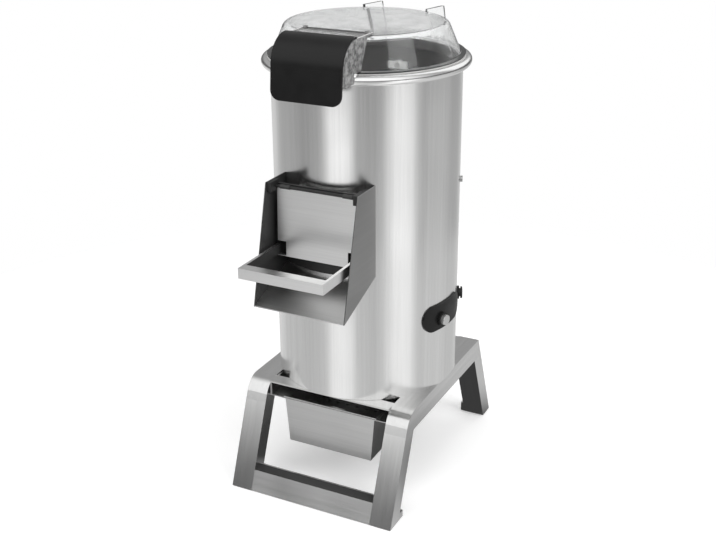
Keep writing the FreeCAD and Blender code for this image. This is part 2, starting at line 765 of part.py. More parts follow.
def outlet_frame(width):
    # a rectangular frame with the outlet's outline, running fore and aft
    half = OUTLET_W / 2
    back = -DRUM_R / 2
    outer = box(-half, half, -CHUTE_LIP_REACH, back, SILL_Z, OUTLET_TOP)
    low = SILL_Z + width
    return outer.cut(box(width - half, half - width, -CHUTE_LIP_REACH, back, low, OUTLET_TOP - width))


def outlet_collar():
    collar = outlet_frame(COLLAR_T).common(behind_door(DOOR_T + DOOR_SEAL_T + SEAT))
    return collar.cut(cylinder(CHAMBER_R, STAND_H, SHELL_TOP))


def door_hinge_bar():
    # a bar between the chute's walls, with a block at each end that holds the rod
    front = HINGE_ROD_R + KNUCKLE_T + HINGE_BAR_GAP - HINGE_REACH
    back = front + HINGE_BAR_T
    bar = box(-CHUTE_HALF, CHUTE_HALF, front, back, HINGE_BAR_TOP - HINGE_BAR_H, HINGE_BAR_TOP)
    block = box(CHUTE_HALF - HINGE_BLOCK_W, CHUTE_HALF, -HINGE_REACH - HINGE_BLOCK_L, back,
                CHUTE_TOP - HINGE_BLOCK_H, CHUTE_TOP)
    body = joined(bar, [block, mirrored(block)])
    return body.cut(rod_x(HINGE_ROD_R, -CHUTE_HALF, CHUTE_HALF, -HINGE_REACH, HINGE_Z))


def door_hinge_rod():
    return rod_x(HINGE_ROD_R, -CHUTE_HALF, CHUTE_HALF, -HINGE_REACH, HINGE_Z)


# Door

def door_slab(z0, z1, x0, x1, depth):
    # a leaning slab from the door's outer face back
    points = [(door_face_y(z0), z0), (door_face_y(z1), z1),
              (door_face_y(z1) + depth, z1), (door_face_y(z0) + depth, z0)]
    return profile_x(points, x0, x1)


def door_panel():
    half = DOOR_W / 2
    inner = half - DOOR_NOTCH_W
    notch_top = DOOR_BOTTOM + DOOR_T + DOOR_NOTCH_H
    fold = door_slab(notch_top, DOOR_TOP, half - DOOR_T, half, DOOR_FOLD)
    sill = door_slab(DOOR_BOTTOM, DOOR_BOTTOM + DOOR_T, -HANDLE_W / 2, HANDLE_W / 2, DOOR_FOLD + DOOR_T)
    pieces = [door_slab(DOOR_BOTTOM, notch_top, -inner, inner, DOOR_T), fold, mirrored(fold), sill]
    x0 = inner - KNUCKLE_L / 2
    x1 = inner + KNUCKLE_L / 2
    knuckle = rod_x(HINGE_ROD_R + KNUCKLE_T, x0, x1, -HINGE_REACH, HINGE_Z)
    strap = box(x0, x1, -HINGE_REACH, -DOOR_REACH + DOOR_T, DOOR_TOP - DOOR_T, HINGE_Z)
    pieces += [knuckle, strap, mirrored(knuckle), mirrored(strap)]
    door = joined(door_slab(notch_top, DOOR_TOP, -half, half, DOOR_T), pieces)
    return door.cut(rod_x(HINGE_ROD_R + RUN, -half, half, -HINGE_REACH, HINGE_Z))


def door_handle():
    low = DOOR_BOTTOM + DOOR_T
    high = low + HANDLE_H
    half = HANDLE_W / 2
    front = -HANDLE_REACH
    inner = front + HANDLE_D
    t = HANDLE_T
    face = box(-half, half, front, front + t, low, high)
    top = box(-half, half, front, inner, high - t, high)
    lip = box(-half, half, inner - t, inner, high - HANDLE_LIP_H, high)
    arm = box(half - ARM_T, half, front, door_face_y(low) + DOOR_FOLD, low, high)
    return joined(face, [top, lip, arm, mirrored(arm)])


def door_seal():
    seal = outlet_frame(DOOR_SEAL_W).common(behind_door(DOOR_T))
    return seal.cut(behind_door(DOOR_T + DOOR_SEAL_T))


# Controls

def control_plate():
    half_h = PLATE_H / 2
    low = CONTROL_Z - half_h
    high = CONTROL_Z + half_h
    end_turn = math.degrees(half_h / PLATE_R)
    first = PLATE_AZ - PLATE_HALF + end_turn
    last = PLATE_AZ + PLATE_HALF - end_turn
    outline = ((PLATE_IN_R, low), (PLATE_R, low), (PLATE_R, high), (PLATE_IN_R, high))
    corners = [vec(0, -r, z) for r, z in outline]
    section = Part.Face(Part.makePolygon(corners + corners[:1]))
    section.rotate(vec(0, 0, 0), vec(0, 0, 1), first)
    middle = section.revolve(vec(0, 0, 0), vec(0, 0, 1), last - first)
    band = ring(PLATE_R, PLATE_IN_R, low, high)
    ends = [wall_hole(half_h, azimuth, CONTROL_Z).common(band) for azimuth in (first, last)]
    return joined(middle, ends).cut(button_holes())


def button_bezel(seat_r, azimuth, z):
    # a collar on a round surface, with a threaded neck through the shell
    face = seat_r + BEZEL_H
    foot = math.sqrt(seat_r ** 2 - BEZEL_R ** 2)
    collar = rod_front(BEZEL_R, foot, face, z).cut(cylinder(seat_r, STAND_H, SHELL_TOP))
    bezel = joined(collar, [rod_front(NECK_R, SHELL_IN - NECK_IN, face, z)])
    bezel = bezel.cut(rod_front(CAP_R + 2 * FIT, face - PRESS - FIT, face + PROUD, z))
    return at_azimuth(bezel.cut(rod_front(STEM_R + FIT, DRUM_R / 2, face, z)), azimuth)


def rounded_cap(r, reach0, reach1, z):
    cap = rod_front(r, reach0, reach1, z)
    outer_edges = [edge for edge in cap.Edges if edge.BoundBox.YMax < -(reach0 + reach1) / 2]
    return cap.makeFillet(CAP_ROUND, outer_edges)


def button_stem(face, z):
    return rod_front(STEM_R, SHELL_IN - STEM_IN, face, z)


def start_button():
    cap = rounded_cap(CAP_R, START_FACE, START_FACE + CAP_H, START_Z)
    return at_azimuth(joined(cap, [button_stem(START_FACE, START_Z)]), START_AZ)


def stop_button():
    neck_end = STOP_FACE + PRESS + FIT
    neck = rod_front(STOP_NECK_R, STOP_FACE, neck_end, STOP_Z)
    cap = rounded_cap(STOP_HEAD_R, neck_end, neck_end + STOP_HEAD_T, STOP_Z)
    return at_azimuth(joined(cap, [neck, button_stem(STOP_FACE, STOP_Z)]), STOP_AZ)


def control_box():
    half = CONTROL_BOX_W / 2
    low = CONTROL_Z - CONTROL_BOX_H / 2
    reach = SHELL_IN - FIT
    body = box(-half, half, -reach, CONTROL_BOX_D - reach, low, low + CONTROL_BOX_H)
    return at_azimuth(body.common(cylinder(reach, low, low + CONTROL_BOX_H)), (START_AZ + STOP_AZ) / 2)


# Drive

def main_shaft():
    body = cylinder(SHAFT_R, PULLEY_BOTTOM - SHAFT_END, DISC_BOTTOM)
    return joined(body, [cylinder(SPIGOT_R, DISC_BOTTOM, DISC_TOP + NUT_H)])


def abrasive_disc():
    # three smooth ridges run out from the hub and throw the potatoes about
    disc = cylinder(DISC_R, DISC_BOTTOM, DISC_TOP)
    ridge_r = (RIDGE_W ** 2 / 4 + RIDGE_H ** 2) / (2 * RIDGE_H)
    ridge = rod_back(ridge_r, RIDGE_START, DISC_R - RIDGE_END, 0, DISC_TOP + RIDGE_H - ridge_r)
    ridge = ridge.common(cylinder(DISC_R, DISC_TOP - DISC_T / 2, DISC_TOP + RIDGE_H))
    disc = joined(disc, [at_azimuth(ridge, 120 * step + 60) for step in range(3)])
    return disc.cut(cylinder(SPIGOT_R, DISC_BOTTOM - PROUD, DISC_TOP + PROUD))


def disc_nut():
    top = DISC_TOP + NUT_H
    nut = joined(hexagon(NUT_R, DISC_TOP, top), [cylinder(NUT_CAP_R, top, top + NUT_CAP_H)])
    return nut.cut(cylinder(SPIGOT_R, DISC_TOP - PROUD, top))


def pulley(r, bore, y):
    body = cylinder(r, PULLEY_BOTTOM, PULLEY_TOP, 0, y)
    groove = ring(r + PROUD, r - GROOVE_D, PULLEY_MIDDLE - GROOVE_W / 2, PULLEY_MIDDLE + GROOVE_W / 2, 0, y)
    return body.cut(groove).cut(cylinder(bore, PULLEY_BOTTOM - PROUD, PULLEY_TOP + PROUD, 0, y))


def belt_loop(r_big, r_small):
    # two circles joined by their outer tangents, the small one at the motor
    lean = math.asin((r_big - r_small) / MOTOR_OFFSET)
    c = math.cos(lean)
    s = math.sin(lean)
    z = PULLEY_MIDDLE - GROOVE_W / 2 + FIT
    big_right = vec(r_big * c, r_big * s, z)
    big_left = vec(-r_big * c, r_big * s, z)
    small_right = vec(r_small * c, MOTOR_OFFSET + r_small * s, z)
    small_left = vec(-r_small * c, MOTOR_OFFSET + r_small * s, z)
    edges = [Part.LineSegment(big_right, small_right).toShape(),
             Part.Arc(small_right, vec(0, MOTOR_OFFSET + r_small, z), small_left).toShape(),
             Part.LineSegment(small_left, big_left).toShape(),
             Part.Arc(big_left, vec(0, -r_big, z), big_right).toShape()]
    return Part.Face(Part.Wire(edges)).extrude(vec(0, 0, GROOVE_W - 2 * FIT))


def drive_belt():
    big = DRIVEN_R - GROOVE_D + FIT
    small = DRIVER_R - GROOVE_D + FIT
    return belt_loop(big + BELT_T, small + BELT_T).cut(belt_loop(big, small))


def motor_body():
    body = cylinder(MOTOR_R, MOTOR_BOTTOM, MOTOR_TOP, 0, MOTOR_OFFSET)
    flange = cylinder(MOTOR_FLANGE_R, MOTOR_TOP - MOTOR_FLANGE_T, MOTOR_TOP, 0, MOTOR_OFFSET)
    body = joined(body, [flange])
    grooves = int((MOTOR_L - MOTOR_FLANGE_T) / FIN_PITCH) - 1
    for step in range(grooves):
        z = MOTOR_BOTTOM + FIN_PITCH * (step + 1)
        body = body.cut(ring(MOTOR_R + PROUD, MOTOR_R - FIN_GROOVE_D, z, z + FIN_GROOVE_W, 0, MOTOR_OFFSET))
    bore_low = MOTOR_TOP - MOTOR_SHAFT_DEPTH
    return body.cut(cylinder(MOTOR_SHAFT_R + RUN, bore_low, MOTOR_TOP + PROUD, 0, MOTOR_OFFSET))


def motor_bracket():
    half = MOTOR_FLANGE_R + BRACKET_MARGIN
    plate = box(-half, half, MOTOR_OFFSET - half, MOTOR_OFFSET + half, MOTOR_TOP, BRACKET_TOP)
    plate = plate.common(cylinder(LINER_R, MOTOR_TOP, BRACKET_TOP))
    return plate.cut(cylinder(MOTOR_SHAFT_R + PASS, MOTOR_TOP - PROUD, BRACKET_TOP + PROUD, 0, MOTOR_OFFSET))


def motor_studs():
    studs = []
    for x, y in ((STUD_FRONT_X, STUD_FRONT_Y), (STUD_REAR_X, STUD_REAR_Y)):
        stud = cylinder(STUD_R, BRACKET_TOP, PLATE_BOTTOM, x, MOTOR_OFFSET + y)
        studs += [stud, mirrored(stud)]
    return Part.makeCompound(studs)


def motor_shaft():
    return cylinder(MOTOR_SHAFT_R, MOTOR_TOP - MOTOR_SHAFT_DEPTH + SEAT, PULLEY_TOP, 0, MOTOR_OFFSET)


# Lid

def dome_solid(inset, base_z):
    # the dome's outer form, or its hollow when moved in by the wall
    base_r = LID_BASE_R - inset
    top_z = LID_TOP - inset
    side = math.atan2(LID_BASE_R - LID_TOP_R, LID_H - LID_EDGE_R)
    centre = (LID_TOP_R - LID_EDGE_R * math.cos(side), LID_TOP - LID_EDGE_R)
    edge_r = LID_EDGE_R - inset
    shoulder = (centre[0] + edge_r * math.cos(side), centre[1] + edge_r * math.sin(side))
    edges = [flat_line((base_r, base_z), shoulder),
             flat_arc(centre, edge_r, math.degrees(side), 90),
             flat_line((centre[0], top_z), (0, top_z)),
             flat_line((0, top_z), (0, base_z)),
             flat_line((0, base_z), (base_r, base_z))]
    return turned_profile(edges)


def hood_mouth():
    # the front of the dome is open where the hood joins it
    half = HOOD_W / 2 - HOOD_T
    return box(-half, half, -RIM_R, -HOOD_BACK - HOOD_LAP, RIM_TOP, LID_TOP + PROUD)


def lid_dome():
    shell = dome_solid(0, LID_BASE_Z).cut(dome_solid(LID_T, LID_BASE_Z - PROUD))
    flange = ring(LID_FLANGE_R, LID_BASE_R - LID_T, LID_BASE_Z, LID_BASE_Z + LID_T)
    return joined(shell, [flange]).cut(hood_mouth())


def lid_gasket():
    return ring(LID_FLANGE_R, LID_FLANGE_R - GASKET_W, RIM_TOP + SEAT, LID_BASE_Z).cut(hood_mouth())


def side_line(a, b, x):
    return Part.LineSegment(vec(x, a[0], a[1]), vec(x, b[0], b[1])).toShape()


def front_curve(inset, bottom_z):
    # the lid's front in (y, z): a level point, a quarter round and a nearly upright end
    r = VISOR_R - inset
    centre = (-VISOR_REACH, VISOR_TOP - VISOR_R)
    lean = VISOR_LEAN * (centre[1] - bottom_z) / (centre[1] - VISOR_BOTTOM)
    diagonal = r * math.sqrt(0.5)
    return {"top": (centre[0], centre[1] + r),
            "round": (centre[0] - diagonal, centre[1] + diagonal),
            "front": (centre[0] - r, centre[1]),
            "bottom": (centre[0] - r - lean, bottom_z)}


def round_edge(curve, x):
    return Part.Arc(*[vec(x, curve[key][0], curve[key][1]) for key in ("front", "round", "top")]).toShape()


def curved_strip(inset, thickness, bottom_z, back_y):
    # a sheet across the lid's front, from its lower edge over the round to a level back edge
    half = HOOD_W / 2
    a = front_curve(inset, bottom_z)
    b = front_curve(inset + thickness, bottom_z)
    a_back = (back_y, a["top"][1])
    b_back = (back_y, b["top"][1])
    edges = [side_line(a["bottom"], a["front"], -half), round_edge(a, -half),
             side_line(a["top"], a_back, -half), side_line(a_back, b_back, -half),
             side_line(b_back, b["top"], -half), round_edge(b, -half),
             side_line(b["front"], b["bottom"], -half), side_line(b["bottom"], a["bottom"], -half)]
    return Part.Face(Part.Wire(edges)).extrude(vec(HOOD_W, 0, 0))


def hood_cheek():
    x = HOOD_W / 2 - HOOD_T
    curve = front_curve(VISOR_T, CHEEK_BOTTOM)
    rim_y = -math.sqrt((RIM_R + HOOD_RIM_GAP) ** 2 - x ** 2)
    over_rim = LID_BASE_Z + LID_T
    outline = [curve["top"], (-HOOD_BACK, curve["top"][1]), (-HOOD_BACK, over_rim), (rim_y, over_rim),
               (rim_y, CHEEK_BOTTOM), curve["bottom"]]
    edges = [side_line(a, b, x) for a, b in zip(outline, outline[1:])]
    edges += [side_line(curve["bottom"], curve["front"], x), round_edge(curve, x)]
    return Part.Face(Part.Wire(edges)).extrude(vec(HOOD_T, 0, 0))


def lid_hood():
    strip = curved_strip(VISOR_T, HOOD_T, CHEEK_BOTTOM, -HOOD_BACK)
    hood = joined(strip, [hood_cheek(), mirrored(hood_cheek())])
    return hood.cut(dome_solid(0, LID_BASE_Z).cut(hood_mouth()))


def lid_visor():
    visor = curved_strip(0, VISOR_T, VISOR_BOTTOM, VISOR_LAP - VISOR_REACH)
    half = HOOD_W / 2
    c = VISOR_CORNER
    back = -VISOR_REACH
    front = -VISOR_FRONT - 2 * VISOR_LEAN
    corner = box(half - c, half + PROUD, front, back, VISOR_BOTTOM - PROUD, VISOR_BOTTOM + c)
    corner = corner.cut(rod_back(c, front, back, half - c, VISOR_BOTTOM + c))
    return visor.cut(corner).cut(mirrored(corner))


def hood_screws():
    x = HOOD_W / 2 - HOOD_SCREW_INSET
    z = LID_TOP + HOOD_T
    head = cylinder(HOOD_SCREW_R, z, z + HOOD_SCREW_H, x, -HOOD_BACK - HOOD_LAP / 2)
    return pair(head)


def lid_arms():
    x1 = HOOD_W / 2
    x0 = x1 - LID_ARM_T
    top = LID_TOP + LID_ARM_RISE
    pin_y = LID_PIN_REACH
    front = DRUM_R - LID_ARM_FRONT
    floor = LID_BASE_Z + LID_T
    outline = [(front, top), (pin_y - LID_ARM_SLANT, LID_TOP), (pin_y + LID_BOSS_R, LID_PIN_Z),
               (pin_y - LID_BOSS_R, LID_PIN_Z), (pin_y - LID_BOSS_R, floor), (front, floor)]
    arm = joined(profile_x(outline, x0, x1), [rod_x(LID_BOSS_R, x0, x1, pin_y, LID_PIN_Z)])
    arm = arm.cut(dome_solid(0, LID_BASE_Z))
    return pair(arm.cut(rod_x(LID_PIN_R + RUN, x0 - PROUD, x1 + PROUD, pin_y, LID_PIN_Z)))


def lid_lugs():
    x1 = HOOD_W / 2 - LID_ARM_T - LUG_GAP
    x0 = x1 - LUG_T
    pin_y = LID_PIN_REACH
    high = RIM_TOP - 2 * BEAD_R - LUG_RIM_GAP
    low = high - LUG_H
    outline = [(DRUM_R / 2, low), (DRUM_R / 2, high), (pin_y - LID_BOSS_R, high),
               (pin_y - LID_BOSS_R, LID_PIN_Z), (pin_y + LID_BOSS_R, LID_PIN_Z),
               (pin_y + LID_BOSS_R, high), (DRUM_R, low)]
    lug = joined(profile_x(outline, x0, x1), [rod_x(LID_BOSS_R, x0, x1, pin_y, LID_PIN_Z)])
    lug = lug.cut(cylinder(DRUM_R, STAND_H, SHELL_TOP))
    return pair(lug.cut(rod_x(LID_PIN_R, x0 - PROUD, x1 + PROUD, pin_y, LID_PIN_Z)))


def lid_hinge_pin():
    end = HOOD_W / 2 + LID_PIN_PLAY
    pin = rod_x(LID_PIN_R, -end, end, LID_PIN_REACH, LID_PIN_Z)
    head = rod_x(LID_PIN_R + LID_PIN_HEAD, end, end + LID_PIN_HEAD_L, LID_PIN_REACH, LID_PIN_Z)
    return joined(pin, [head, mirrored(head)])


# Drawer

def level_rectangle(half, front, rear, z):
    points = [vec(-half, -front, z), vec(half, -front, z), vec(half, rear, z), vec(-half, rear, z)]
    return Part.makePolygon(points + points[:1])


def tray(half, taper, inset, z0, z1):
    # an open tray with tapered sides, set in from the drawer's front and back
    t = DRAWER_T
    front = DRAWER_FRONT - inset
    rear = DRAWER_REAR - inset
    outer = Part.makeLoft([level_rectangle(half - taper, front, rear, z0),
                           level_rectangle(half, front, rear, z1)], True)
    inner = Part.makeLoft([level_rectangle(half - taper - t, front - t, rear - t, z0 + t),
                           level_rectangle(half - t, front - t, rear - t, z1)], True)
    return outer, inner


def drawer_pan():
    high = DRAWER_TOP
    outer, inner = tray(DRAWER_HALF, DRAWER_TAPER, 0, DRAWER_BOTTOM, high)
    half = DRAWER_HALF + DRAWER_RIM
    front = -DRAWER_FRONT - DRAWER_RIM / 2
    rim = box(-half, half, front, DRAWER_REAR + DRAWER_RIM / 2, high - DRAWER_T, high)
    pan = joined(outer, [rim]).cut(inner)
    floor_top = DRAWER_BOTTOM + DRAWER_T
    return pan.cut(cylinder(STUB_R - STUB_T, DRAWER_BOTTOM - PROUD, floor_top + PROUD, 0, STUB_Y))


def filter_basket():
    high = DRAWER_TOP + DRAWER_T
    low = high - BASKET_H
    inset = DRAWER_T + BASKET_INSET
    outer, inner = tray(DRAWER_HALF - inset, DRAWER_TAPER * BASKET_H / DRAWER_H, inset, low, high)
    rim_half = DRAWER_HALF + DRAWER_RIM / 2
    rim = box(-rim_half, rim_half, -DRAWER_FRONT, DRAWER_REAR, high - DRAWER_T, high)
    basket = joined(outer, [rim]).cut(inner)
    holes = []
    for column in range(BASKET_COLUMNS):
        for row in range(BASKET_ROWS):
            x = (column - (BASKET_COLUMNS - 1) / 2) * BASKET_PITCH
            y = (DRAWER_REAR - DRAWER_FRONT) / 2 + (row - (BASKET_ROWS - 1) / 2) * BASKET_PITCH
            holes.append(cylinder(BASKET_HOLE_R, low - PROUD, low + DRAWER_T + PROUD, x, y))
    return basket.cut(Part.makeCompound(holes))


def drain_stub():
    return ring(STUB_R, STUB_R - STUB_T, DRAWER_BOTTOM - STUB_L, DRAWER_BOTTOM, 0, STUB_Y)


def save_stand():
    right_rail = rail()
    save("rail_right", right_rail)
    save("rail_left", mirrored(right_rail))
    right_leg = front_leg()
    save("front_leg_right", right_leg)
    save("front_leg_left", mirrored(right_leg))
    save("rear_leg_right", turned_back(right_leg))
    save("rear_leg_left", turned_back(mirrored(right_leg)))
    save("front_crossbar", front_crossbar())
    save("rail_ties", Part.makeCompound([front_tie(), rear_tie()]))
    save("feet", feet())
    save("foot_pads", foot_pads())
    save("stand_bolts", stand_bolts())
    save("drawer_runners", drawer_runners())


def save_drum():
    save("drum_shell", drum_shell())
    save("rim_ring", rim_ring())
    save("chamber_liner", chamber_liner())
    save("chamber_pan", chamber_pan())
    save("drain_duct", drain_duct())
    save("base_plate", base_plate())
    save("motor_plate", motor_plate())
    save("bearing_housing", bearing_housing())
    save("bearings", bearings())
    save("shaft_seal", shaft_seal())
    save("water_inlet", water_inlet())
    save("cable_gland", cable_gland())
    save("liner_screws", liner_screws())


def save_chute_and_door():
    wall = chute_wall()
    save("chute_wall_right", wall)
    save("chute_wall_left", mirrored(wall))
    save("chute_floor", chute_floor())
    save("outlet_collar", outlet_collar())
    save("door_hinge_bar", door_hinge_bar())
    save("door_hinge_rod", door_hinge_rod())
    save("door_panel", door_panel())
    save("door_handle", door_handle())
    save("door_seal", door_seal())


def save_controls():
    save("control_plate", control_plate())
    bezels = [button_bezel(PLATE_R, START_AZ, START_Z), button_bezel(DRUM_R, STOP_AZ, STOP_Z)]
    save("button_bezels", Part.makeCompound(bezels))
    save("start_button", start_button())
    save("stop_button", stop_button())
    save("control_box", control_box())


def save_drive():
    save("main_shaft", main_shaft())
    save("abrasive_disc", abrasive_disc())
    save("disc_nut", disc_nut())
    save("driven_pulley", pulley(DRIVEN_R, SHAFT_R, 0))
    save("drive_belt", drive_belt())
    save("motor_body", motor_body())
    save("motor_bracket", motor_bracket())
    save("motor_studs", motor_studs())
    save("motor_shaft", motor_shaft())
    save("motor_pulley", pulley(DRIVER_R, MOTOR_SHAFT_R, MOTOR_OFFSET))


def save_lid():
    save("lid_dome", lid_dome())
    save("lid_gasket", lid_gasket())
    save("lid_hood", lid_hood())
    save("lid_visor", lid_visor())
    save("hood_screws", hood_screws())
    save("lid_arms", lid_arms())
    save("lid_lugs", lid_lugs())
    save("lid_hinge_pin", lid_hinge_pin())


def save_drawer():
    save("drawer_pan", drawer_pan())
    save("filter_basket", filter_basket())
    save("drain_stub", drain_stub())


os.makedirs("parts", exist_ok=True)
save_stand()
save_drum()
save_chute_and_door()
save_controls()
save_drive()
save_lid()
save_drawer()
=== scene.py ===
import json
import math

import bpy
from mathutils import Matrix, Vector


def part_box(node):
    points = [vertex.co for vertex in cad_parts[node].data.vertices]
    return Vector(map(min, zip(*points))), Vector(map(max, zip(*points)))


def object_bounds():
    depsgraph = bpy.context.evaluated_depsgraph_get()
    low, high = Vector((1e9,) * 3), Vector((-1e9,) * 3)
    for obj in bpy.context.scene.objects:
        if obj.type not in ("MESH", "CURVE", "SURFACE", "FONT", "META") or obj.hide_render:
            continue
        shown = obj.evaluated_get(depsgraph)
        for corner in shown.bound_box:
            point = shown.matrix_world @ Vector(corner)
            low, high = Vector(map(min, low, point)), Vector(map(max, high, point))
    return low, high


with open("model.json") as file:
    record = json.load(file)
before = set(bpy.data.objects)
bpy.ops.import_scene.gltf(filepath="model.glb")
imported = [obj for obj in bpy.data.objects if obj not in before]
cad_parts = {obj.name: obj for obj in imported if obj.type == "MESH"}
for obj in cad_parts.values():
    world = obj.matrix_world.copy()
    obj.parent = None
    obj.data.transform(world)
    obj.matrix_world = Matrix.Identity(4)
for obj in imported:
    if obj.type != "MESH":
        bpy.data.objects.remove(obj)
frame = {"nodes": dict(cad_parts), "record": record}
cad_low, cad_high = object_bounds()

# Lengths are in metres, angles in degrees. The drum's axis stands on the plane X = 0.
NODES = frame["nodes"]
DRUM_LOW, DRUM_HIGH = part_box("drum_shell")
AXIS_Y = (DRUM_LOW.y + DRUM_HIGH.y) / 2
DRUM_R = DRUM_HIGH.x
CHUTE_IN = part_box("chute_floor")[1].x
CHUTE_BACK_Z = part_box("chute_floor")[1].z
DOOR_SEAL_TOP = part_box("door_seal")[1].z
HOOD_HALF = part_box("lid_hood")[1].x
HANDLE_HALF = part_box("door_handle")[1].x
HANDLE_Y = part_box("door_handle")[0].y
CROSSBAR_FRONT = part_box("front_crossbar")[0].y
CROSSBAR_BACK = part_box("front_crossbar")[1].y

# Where the painted shade and the scuffed plastic end
PAINTED_SHADE_REACH = 0.001
PAINTED_SHADE_BELOW_FLOOR = 0.002
PAINTED_SHADE_BELOW_SEAL = 0.05
KNUCKLE_RISE = 0.006
HANDLE_EDGE = 0.005
HANDLE_LIP = 0.001
CROSSBAR_FRONT_EDGE = 0.002
CROSSBAR_BACK_EDGE = 0.004
HOOD_CHEEK = 0.004
FACES_THAT_WAY = 0.7
UPRIGHT = 0.5

# Camera, solved from the photograph
IMAGE_W = 716
FOCAL_PX = 1135.06
SENSOR = 36.0
NEAR_CLIP = 0.1
FAR_CLIP = 50.0
CAMERA_AT = (1.04302, -2.04722, 1.42870)
CAMERA_YAW = 27.03
CAMERA_DOWN = 22.69
CAMERA_ROLL = -0.43

# Studio that the metal mirrors. A window is the azimuth of its middle, from the front towards +X, half its
# width, the width of its soft edge, and its level.
STUDIO_GREY = 0.42
STUDIO_WINDOWS = ((-7, 12, 9, 1.10),
                  (69, 10, 15, 1.12),
                  (122, 16, 10, 0.54),
                  (-52, 8, 8, 0.36),
                  (-145, 25, 20, 0.7))
WINDOWS_END = (-12, -6)
HORIZON_LEVEL = 0.11
SKY_START = (6.4, 10.2)
SKY_TURN = (60, 110)
SKY_FRONT = 1.05
SKY_BACK = 0.36
SKY_WINDOW = (160, 20, 15, 0.6)
ZENITH = (62, 80)
ZENITH_LEVEL = 0.7
AMBIENT = 0.62

# Floor: a disc whose mirror image is a glow with a painted shadow, dark under the machine
FLOOR_R = 1.6
FLOOR_SIDES = 96
FLOOR_COLOUR = (0.8, 0.8, 0.8)
FLOOR_GLOW = 0.32
FLOOR_PAINTED_SHADOW_Y = 0.12
FLOOR_NEAR = 0.25
FLOOR_FAR = 0.45
FLOOR_GLOSS_NEAR = 0.05
FLOOR_GLOSS_FAR = 0.78
FLOOR_CLEAR = 0.6

# Lamps: name, azimuth, elevation, distance from the machine's middle, width and height, power in watts
LAMPS = (("key", 75, 38, 3.0, (1.6, 1.6), 42),
         ("fill", -35, 30, 3.0, (1.4, 1.8), 22),
         ("top", 10, 84, 2.6, (1.8, 1.8), 26))

# Finishes. A tool mark on turned metal is TOOL_MARK long, and TOOL_MARK_FINER times finer upwards.
BLUE_SHARE = 0.995
NOISE_LOW = 0.3
NOISE_HIGH = 0.7
BROAD_STREAKS = 0.12
STREAK_DARK = 0.93
STREAK_LIGHT = 1.05
CLOUD_SCALE = 9.0
TOOL_MARK = 0.0024
TOOL_MARK_FINER = 60.0
MOTTLE_DARK = 0.85
MOTTLE_LIGHT = 1.15
# the black and the roughness of painted shade
PAINTED_SHADE_LEVEL = 0.03
PAINTED_SHADE_ROUGHNESS = 0.45
CLEAR_COLOUR = (0.985, 0.99, 0.99)
CLEAR_ROUGHNESS = 0.06
CLEAR_IOR = 1.35
HOOD_TINT = 0.975
HOOD_SAWN_EDGE = 0.8
HOOD_SCUFF_DARK = 0.12
HOOD_SCUFF_LIGHT = 0.40
HOOD_CHEEK_CLEARNESS = 0.25


def view_settings():
    bpy.context.scene.view_settings.view_transform = "Standard"


def make_camera():
    data = bpy.data.cameras.new("camera")
    data.sensor_width = SENSOR
    data.lens = FOCAL_PX * SENSOR / IMAGE_W
    data.clip_start = NEAR_CLIP
    data.clip_end = FAR_CLIP
    camera = bpy.data.objects.new("camera", data)
    bpy.context.scene.collection.objects.link(camera)
    yaw = Matrix.Rotation(math.radians(CAMERA_YAW), 4, "Z")
    tilt = Matrix.Rotation(math.radians(90 - CAMERA_DOWN), 4, "X")
    roll = Matrix.Rotation(math.radians(CAMERA_ROLL), 4, "Z")
    camera.matrix_world = Matrix.Translation(CAMERA_AT) @ yaw @ tilt @ roll
    bpy.context.scene.camera = camera


